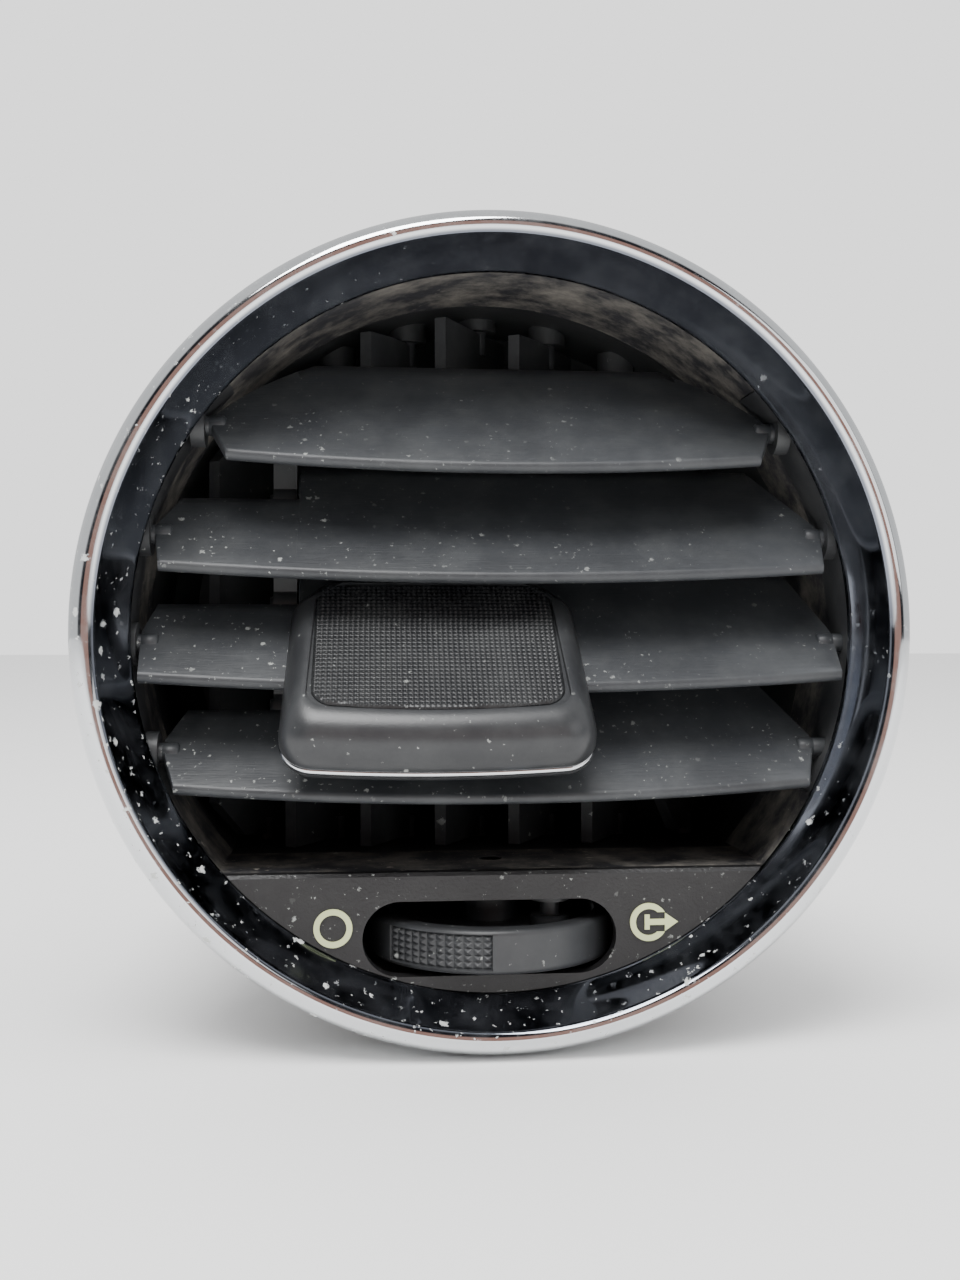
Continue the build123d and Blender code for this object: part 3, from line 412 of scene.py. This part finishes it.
# ------------------------------------------------------------------ louvers
def blade_half(pivot_z, b):
    """Half the room for a blade at a distance b behind its axis, over its whole tilt."""
    if pivot_z < 0:
        worst = TILT_UP if b > 0 else TILT_DOWN
    else:
        worst = TILT_DOWN if b > 0 else TILT_UP
    return np.sqrt(LOUVER_REACH**2 - (abs(pivot_z) + abs(b) * sin(worst)) ** 2)


def louver_shell(pivot, notched, notch_x):
    """Blade as a grid: stations along X, each a closed section from the front lip to the rear edge. The
    front edge is a parabola between slanted ends; the rear edge is straight, cut at its corners, and
    notched on the left for the link. The section is flat with a full round lip in front."""
    front_half = blade_half(pivot.z, -LOUVER_FRONT)
    middle_half = blade_half(pivot.z, 0.0) - 0.05 * MM
    shoulder = 1.5 * MM
    shoulder_half = blade_half(pivot.z, shoulder)
    rear_half = blade_half(pivot.z, LOUVER_REAR) - 3.25 * MM
    step = 0.02 * MM
    right = [(rear_half, LOUVER_REAR), (shoulder_half, shoulder), (middle_half, 0.25 * MM)]
    if notched:
        notch_half = blade_half(pivot.z, NOTCH_B) - 1.2 * MM
        left = [(-middle_half, 0.25 * MM), (-shoulder_half, shoulder), (-notch_half, NOTCH_B),
                (notch_x - step, NOTCH_B), (notch_x, LOUVER_REAR)]
    else:
        swell = np.linspace(0, 1, 9)[1:-1]
        across = rear_half + (shoulder_half - rear_half) * swell
        behind = LOUVER_REAR + (shoulder - LOUVER_REAR) * swell
        bulge = np.sin(pi * swell)
        curve = list(zip(across + 0.9 * MM * bulge, behind + 0.4 * MM * bulge))
        right = [(rear_half, LOUVER_REAR)] + curve + [(shoulder_half, shoulder), (middle_half, 0.25 * MM)]
        left = [(-x, b) for x, b in reversed(right)]
    rear_x, rear_b = np.array(left + right).T
    stations = np.unique(np.concatenate([
        rear_x, [-front_half, front_half], np.linspace(-middle_half, middle_half, 121)]))
    slant = np.clip((np.abs(stations) - front_half) / (middle_half - front_half), 0, 1)
    bowed = LOUVER_BOW * np.clip(1 - (stations / front_half) ** 2, 0, 1)
    front = -(LOUVER_FRONT * (1 - slant) + bowed) - 0.25 * MM * slant
    rear = np.interp(stations, rear_x, rear_b)
    half = np.minimum(LOUVER_THICKNESS / 2, 0.42 * (rear - front))[:, None]
    turn = np.radians(np.linspace(90, 270, 15))
    along = np.linspace(0, 1, 10)[1:]
    lip_b = front[:, None] + half * (1 + np.cos(turn))
    lip_h = half * np.sin(turn)
    reach = rear[:, None] - 0.15 * MM - lip_b[:, :1]
    lower_b = lip_b[:, -1:] + reach * along
    upper_b = lower_b[:, ::-1]
    thin = 1 - 0.10 * along
    edge_b = np.repeat(rear[:, None], 2, axis=1)
    edge_h = half * np.array([-0.72, 0.72])
    b = np.hstack([lip_b, lower_b, edge_b, upper_b])
    h = np.hstack([lip_h, -half * thin, edge_h, half * thin[::-1]])
    x = np.broadcast_to(stations[:, None], b.shape)
    return grid_shell(tilted(np.stack([x, b, h], axis=-1), pivot))


def plate_shell(outline, low, high, place, edge=0.12 * MM):
    """Flat plate from a closed outline of (u, v), between two levels, with a small chamfer: four rows of
    the outline, the outer two drawn in towards the middle. place turns (u, v, level) into the frame's."""
    outline = np.asarray(outline)
    middle = outline.mean(axis=0)
    spread = np.abs(outline - middle).max()
    drawn = middle + (outline - middle) * (1 - edge / spread)
    rows = [(drawn, low), (outline, low + edge), (outline, high - edge), (drawn, high)]
    grid = np.stack([place(row[:, 0], row[:, 1], np.full(len(row), level)) for row, level in rows])
    return grid_shell(grid)


def louver_shells(joint, node_name, notched):
    """A whole louver: blade, pivot hubs and pins, and the lug with its pin for the link."""
    pivot = pivot_of(joint)
    low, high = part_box(node_name)
    link_low, link_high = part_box("louver_link")
    lug_left = link_high.x + 0.3 * MM
    middle_half = blade_half(pivot.z, 0.0)
    shells = [louver_shell(pivot, notched, link_high.x + 0.6 * MM)]
    for side, end in ((-1, -low.x), (1, high.x)):
        hub = side * (middle_half - 1.1 * MM)
        shells.append(pin((hub, pivot.y, pivot.z), 1.25 * MM, 2.2 * MM, edge=0.25 * MM))
        shells.append(pin((side * (middle_half - 1 * MM + end) / 2, pivot.y, pivot.z), 1.2 * MM,
                          end - middle_half + 1 * MM))
    lug = np.vstack([arc((LINK_B, -LINK_H), (2.0 * MM, 2.0 * MM), 180, 360, 17),
                     [(LINK_B + 2.0 * MM, -0.2 * MM), (LINK_B - 2.0 * MM, -0.2 * MM)]])

    def beside(b, h, x):
        return tilted(np.stack([x, b, h], axis=-1), Vector((0, pivot.y, pivot.z)))

    shells.append(plate_shell(lug, lug_left, lug_left + 1.4 * MM, beside))
    pin_middle = tilted(np.array([(0.0, LINK_B, -LINK_H)]), pivot)[0]
    pin_start = link_low.x - 0.5 * MM
    pin_middle[0] = (pin_start + lug_left) / 2
    shells.append(pin(pin_middle, 1.0 * MM, lug_left - pin_start))
    return shells


LOUVERS = {
    "louver_top": ("louver_top_tilt", False),
    "louver_upper": ("louver_upper_tilt", True),
    "louver_control": ("louver_tilt", True),
    "louver_bottom": ("louver_bottom_tilt", True),
}
for louver, (joint, notched) in LOUVERS.items():
    make_piece(louver + "_blade", louver_shells(joint, louver, notched), louver_pp, louver,
               [louver], sharp=50.0)

# ------------------------------------------------------------------ knob
KNOB_PIVOT = pivot_of("louver_tilt")
CORNER = 3.8 * MM
PAD_WIDTH = 29.5 * MM
PAD_FRONT = 15.3 * MM
PAD_REAR = 6.4 * MM


def rounded(corners, radii, count):
    """Closed outline through rounded corners: at each, an arc that touches both sides."""
    corners = np.asarray(corners)
    outline = []
    for before, corner, after, radius in zip(np.roll(corners, 1, axis=0), corners,
                                             np.roll(corners, -1, axis=0), radii):
        arriving = (before - corner) / np.linalg.norm(before - corner)
        leaving = (after - corner) / np.linalg.norm(after - corner)
        half = np.arccos(np.clip(arriving @ leaving, -1, 1)) / 2
        middle = (arriving + leaving) / np.linalg.norm(arriving + leaving)
        centre = corner + middle * radius / sin(half)
        first = corner + arriving * radius / np.tan(half) - centre
        last = corner + leaving * radius / np.tan(half) - centre
        share = np.linspace(0, 1, count)[:, None]
        sweep = pi - 2 * half
        outline.append(centre + (first * np.sin((1 - share) * sweep) + last * np.sin(share * sweep))
                       / sin(sweep))
    return np.vstack(outline)


def even(outline, count):
    """The closed outline again, as points at even distances along it."""
    closed = np.vstack([outline, outline[:1]])
    travelled = np.concatenate([[0], np.cumsum(np.linalg.norm(np.diff(closed, axis=0), axis=1))])
    wanted = np.linspace(0, travelled[-1], count, endpoint=False)
    return np.stack([np.interp(wanted, travelled, closed[:, k]) for k in range(2)], axis=-1)


def knob_plan(inset=0.0, front_inset=None, count=240):
    """The knob's plan: a trapezium with rounded front corners, a bowed nose and cut rear corners, drawn in
    by inset at its sides and rear and by front_inset at its nose."""
    front_inset = inset if front_inset is None else front_inset
    front = KNOB_WIDTH / 2 - inset
    rear = KNOB_WIDTH / 2 - 0.8 * MM - inset
    nose = -KNOB_FRONT + 1.0 * MM + front_inset
    tail = KNOB_REAR - inset * 0.4
    radius = max(CORNER - 0.55 * inset, 0.8 * MM)
    heel = rear - KNOB_CUT_WIDTH
    corners = [(-front, nose), (front, nose), (rear, KNOB_CUT), (heel, tail), (-heel, tail),
               (-rear, KNOB_CUT)]
    plan = even(rounded(corners, [radius, radius] + [0.9 * MM] * 4, 14), count)
    share = np.clip((tail - plan[:, 1]) / (tail - nose), 0, 1) ** 3
    plan[:, 1] -= 1.0 * MM * share * np.clip(1 - (plan[:, 0] / front) ** 2, 0, 1)
    plan[:, 0] += KNOB_X
    return plan


def knob_rows(levels):
    """Rows of the knob's plan at several levels: each level is (height, inset, nose inset) in mm."""
    rows = []
    for height, inset, front_inset in levels:
        plan = knob_plan(inset * MM, front_inset * MM)
        level = np.full(len(plan), height * MM)
        rows.append(tilted(np.column_stack([plan, level]), Vector((0, KNOB_PIVOT.y, KNOB_PIVOT.z))))
    return grid_shell(np.stack(rows))


swell = np.radians(np.linspace(0, 90, 10))
upper_levels = [(-1.5, 0.9, 0.9), (-1.5, 0.25, 0.25), (-1.4, 0.06, 0.06), (-1.2, 0.0, 0.0)]
upper_levels += [(-0.4 + 4.4 * sin(t), 3.0 * (1 - cos(t)), 4.6 * (1 - cos(t))) for t in swell]
upper_levels += [(3.98, 3.12, 4.72), (3.55, 3.22, 4.82)]
make_piece("knob_upper_cap", [knob_rows(upper_levels)], knob_abs, "knob",
           ["knob_upper_shell"], sharp=55.0)

bulge = np.radians(np.linspace(-90, 90, 9))
band_levels = [(-2.3, 1.0, 1.0)]
band_levels += [(-1.93 + 0.37 * sin(t), 0.32 - 0.34 * cos(t), 0.32 - 0.34 * cos(t)) for t in bulge]
band_levels += [(-1.56, 1.0, 1.0)]
make_piece("knob_chrome_band", [knob_rows(band_levels)], chrome_band, "knob",
           ["knob_chrome_strip"], sharp=60.0)

lower_levels = [(-4.0, 3.0, 3.0), (-3.96, 1.6, 2.2), (-3.7, 0.8, 1.2), (-3.2, 0.3, 0.5), (-2.8, 0.1, 0.15),
                (-2.44, 0.05, 0.05), (-2.36, 0.2, 0.2), (-2.36, 1.0, 1.0)]
make_piece("knob_lower_cap", [knob_rows(lower_levels)], knob_abs, "knob",
           ["knob_lower_shell"], sharp=55.0)


def grip_pad():
    """Grip pad as a height field on a fine grid: pimples are the product of two raised cosines with a
    pitch of 0.62 by 0.66 mm, fading out at the rim, over a base that falls away at the edge. The front
    edge is bowed, with rounded corners, and the grid's rows run from it to the rear."""
    pitch_x, pitch_b = 0.62 * MM, 0.66 * MM
    across = np.linspace(-PAD_WIDTH / 2, PAD_WIDTH / 2, 285)
    round_off = 2.4 * MM
    past = np.clip(np.abs(across) - (PAD_WIDTH / 2 - round_off), 0, round_off)
    front = -PAD_FRONT + 1.3 * MM * (across / (PAD_WIDTH / 2)) ** 2
    front = front + round_off - np.sqrt(round_off**2 - past**2)
    rear = PAD_REAR - (round_off - np.sqrt(round_off**2 - past**2)) * 0.5
    share = np.linspace(0, 1, 214)[:, None]
    b = front * (1 - share) + rear * share
    taper = 1 - 0.018 * (b + PAD_FRONT) / PAD_FRONT
    x = across * taper
    wave_x = 0.5 + 0.5 * np.cos(2 * pi * x / pitch_x)
    wave_b = 0.5 + 0.5 * np.cos(2 * pi * b / pitch_b)
    rim = np.minimum(np.minimum((b - front), rear - b), PAD_WIDTH / 2 - np.abs(across))
    level = np.clip(rim / (0.35 * MM), 0, 1)
    top = (3.66 + 0.20 * level) * MM + 0.24 * MM * level * (wave_x * wave_b) ** 0.8
    crown = 0.25 * MM * (1 - (2 * across / PAD_WIDTH) ** 2)
    grid = np.stack([x + KNOB_X, b, top + crown * 0.4 * level], axis=-1)
    below = grid.copy()
    below[..., 2] = 3.3 * MM
    edge = np.stack([below, grid])
    flat = edge.reshape(2, -1, 3)
    rows, columns = b.shape
    index = np.arange(rows * columns).reshape(rows, columns)
    cells = np.stack([index[:-1, :-1], index[:-1, 1:], index[1:, 1:], index[1:, :-1]], axis=-1)
    cells = cells.reshape(-1, 4)
    border = np.concatenate([index[0, :-1], index[:-1, -1], index[-1, :0:-1], index[:0:-1, 0]])
    following = np.roll(border, -1)
    total = rows * columns
    walls = np.stack([border, following, following + total, border + total], axis=-1)
    middle = flat[0].mean(axis=0)
    points = np.vstack([flat[1], flat[0], middle])
    floor = np.stack([following + total, border + total, np.full(len(border), 2 * total)], axis=-1)
    used = np.unique(np.concatenate([cells.ravel(), walls.ravel(), floor.ravel()]))
    renumber = np.zeros(len(points), int)
    renumber[used] = np.arange(len(used))
    points = tilted(points[used], Vector((0, KNOB_PIVOT.y, KNOB_PIVOT.z)))
    quads = np.vstack([cells[:, ::-1], walls])
    return points, renumber[quads], renumber[floor]


make_piece("knob_pimpled_pad", [grip_pad()], grip_rubber, "knob", ["knob_grip_pad"],
           sharp=80.0)


# ------------------------------------------------------------------ thumbwheel
KNURL_START = radians(-147.0)
KNURL_SPAN = radians(53.0)
KNURL_COLUMNS = 12
KNURL_ROWS = 5
KNURL_DEPTH = 0.42 * MM


def wheel_shell():
    """Rim of the wheel: a closed half section turned about Z, its outer face pushed in by rows of
    pyramids over the knurled stretch. A pyramid is one minus the larger of two triangle waves."""
    radius = WHEEL_HIGH.x
    low, high = WHEEL_LOW.z, WHEEL_LOW.z + 5.3 * MM
    edge = 0.7 * MM
    face = np.linspace(low + edge, high - edge, 49)
    outer = np.vstack([
        arc((radius - edge, low + edge), (edge, edge), -90, 0, 7)[:-1],
        np.column_stack([np.full(len(face), radius), face]),
        arc((radius - edge, high - edge), (edge, edge), 0, 90, 7)[1:]])
    inner = np.array([
        (radius - 2.2 * MM, high), (radius - 2.5 * MM, high - 0.3 * MM),
        (radius - 2.5 * MM, high - 1.4 * MM),
        (4.2 * MM, high - 1.4 * MM), (3.5 * MM, high - 1.4 * MM), (3.5 * MM, WHEEL_HIGH.z - 0.2 * MM),
        (3.3 * MM, WHEEL_HIGH.z), (1.7 * MM, WHEEL_HIGH.z), (1.56 * MM, WHEEL_HIGH.z - 0.2 * MM),
        (1.56 * MM, low + 0.2 * MM), (1.8 * MM, low)])
    profile = np.vstack([outer, inner])
    angle = np.linspace(-pi, pi, 1080, endpoint=False)[:, None]
    along = (angle - KNURL_START) / KNURL_SPAN
    column = np.abs(((along * KNURL_COLUMNS) % 1) * 2 - 1)
    across = (profile[None, :, 1] - low - edge) / (high - low - 2 * edge)
    row = np.abs(((across * KNURL_ROWS) % 1) * 2 - 1)
    on_face = (profile[None, :, 0] > radius - 0.01 * MM) & (along > 0) & (along < 1)
    sunk = np.maximum(column, row) * KNURL_DEPTH
    reach = profile[None, :, 0] - np.where(on_face, sunk, 0.0)
    grid = np.stack([WHEEL_AXIS.x + reach * np.cos(angle), WHEEL_AXIS.y + reach * np.sin(angle),
                     np.broadcast_to(profile[None, :, 1], reach.shape)], axis=-1)
    return grid_shell(grid, loop=True, ring=True)


crank_place = pivot_of("flap_link_swing")
crank_low = WHEEL_LOW.z + 4.0 * MM
crank_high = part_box("flap_link")[1].z + 0.3 * MM
crank_pin = pin((crank_place.x, crank_place.y, (crank_low + crank_high) / 2), 1.2 * MM,
                crank_high - crank_low, along="z")
crank_pad = pin((crank_place.x, crank_place.y, WHEEL_LOW.z + 4.4 * MM), 2.4 * MM, 1.7 * MM, along="z",
                edge=0.25 * MM)
make_piece("thumbwheel_knurled", [wheel_shell(), crank_pin, crank_pad], wheel_abs, "thumbwheel",
           ["thumbwheel"], sharp=32.0)

# ------------------------------------------------------------------ CAD nodes that keep their shape
KEPT = {
    "front_housing": barrel_pp, "rear_housing": housing_pp, "control_panel": panel_abs,
    "closed_symbol": symbol_ink, "open_symbol": symbol_ink, "louver_bearing_left": bearing_pom,
    "louver_bearing_right": bearing_pom, "thumbwheel_axle": axle_steel, "duct_gasket": gasket_foam,
    "mounting_clips": clip_steel, "louver_link": link_pom, "knob_fork": link_pom,
    "knob_brake_pad": brake_felt, "vane_link": link_pom, "flap_link": link_pom, "flap_disc": vane_pp,
    "flap_seal": seal_epdm, "flap_crank": link_pom,
}
KEPT.update({f"vane_{number}": vane_pp for number in range(1, 8)})
for name, material in KEPT.items():
    kept = frame["nodes"][name]
    kept.data.materials.clear()
    kept.data.materials.append(material)

# ------------------------------------------------------------------ stage, light and camera
stage_paint = bpy.data.materials.new("pale_floor_paint")
stage_paint.use_nodes = True
paint = stage_paint.node_tree.nodes["Principled BSDF"]
paint.inputs["Base Color"].default_value = colour("#f4f4f3")
paint.inputs["Roughness"].default_value = 0.9

floor_mesh = bpy.data.meshes.new("floor")
reach = 3.0
ground = cad_low[2] - 0.2 * MM
floor_mesh.from_pydata([(-reach, -reach, ground), (reach, -reach, ground), (reach, reach, ground),
                        (-reach, reach, ground)], [], [(0, 1, 2, 3)])
floor_mesh.materials.append(stage_paint)
floor = bpy.data.objects.new("floor", floor_mesh)
bpy.context.scene.collection.objects.link(floor)
floor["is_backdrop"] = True

world = bpy.data.worlds.new("studio")
bpy.context.scene.world = world
world.use_nodes = True
sky = world.node_tree
sky.nodes.clear()
direction = node(sky, "ShaderNodeTexCoord").outputs["Generated"]
parts = node(sky, "ShaderNodeSeparateXYZ", {0: direction})
# The room seen in the chrome: pale all round, dark in front, and warm where the viewer stands.
PALE_ROOM = (0.93, 0.94, 0.95, 1.0)
DARK_ROOM = (0.035, 0.035, 0.04, 1.0)
WARM_VIEWER = (0.52, 0.30, 0.25, 1.0)
UNDER_LIGHT = (0.08, 0.08, 0.085, 1.0)
OVER_LIGHT = (2.1, 2.1, 2.12, 1.0)
OPEN_WHITE = (1.9, 1.9, 1.9, 1.0)
front = times(sky, parts.outputs[1], -1.0)
room = mix(sky, ramp(sky, front, 0.30, 0.55), PALE_ROOM, DARK_ROOM)
mirrored = mix(sky, ramp(sky, front, 0.80, 0.86), room, WARM_VIEWER)
# What lights the dull surfaces comes mostly from above, and the open background is white.
ray = node(sky, "ShaderNodeLightPath")
overhead = mix(sky, ramp(sky, parts.outputs[2], -0.05, 0.75), UNDER_LIGHT, OVER_LIGHT)
lit = mix(sky, ray.outputs["Is Diffuse Ray"], mirrored, overhead)
seen = mix(sky, ray.outputs["Is Camera Ray"], lit, OPEN_WHITE)
background = node(sky, "ShaderNodeBackground", {"Color": seen}, Strength=0.9)
node(sky, "ShaderNodeOutputWorld", {"Surface": background.outputs[0]})


def soft_light(name, place, aim, size, power, tint="#ffffff"):
    """A square softbox at a place, turned to its aim."""
    lamp = bpy.data.lights.new(name, "AREA")
    lamp.shape = "SQUARE"
    lamp.size = size
    lamp.energy = power
    lamp.color = colour(tint)[:3]
    holder = bpy.data.objects.new(name, lamp)
    holder.location = place
    holder.rotation_euler = (Vector(aim) - Vector(place)).to_track_quat("-Z", "Y").to_euler()
    bpy.context.scene.collection.objects.link(holder)


soft_light("key_softbox", (-0.14, -0.40, 0.72), (0, 0, 0), 0.4, 8.5)
soft_light("fill_softbox", (0.5, -0.5, 0.25), (0, 0, 0), 0.4, 0.9)

LENS = 38.8
VIEW_TURN = radians(5.7)
VIEW_DISTANCE = 0.160
VIEW_SHIFT = (-0.0185, -0.006)
camera_data = bpy.data.cameras.new("camera")
camera_data.lens = LENS
camera_data.clip_start = 0.005
camera = bpy.data.objects.new("camera", camera_data)
bpy.context.scene.collection.objects.link(camera)
bpy.context.scene.camera = camera
aim = Vector((0, CREST, 0))
camera.location = aim + VIEW_DISTANCE * Vector((-sin(VIEW_TURN), -cos(VIEW_TURN), 0))
camera.rotation_euler = (aim - camera.location).to_track_quat("-Z", "Y").to_euler()
camera_data.shift_x, camera_data.shift_y = VIEW_SHIFT
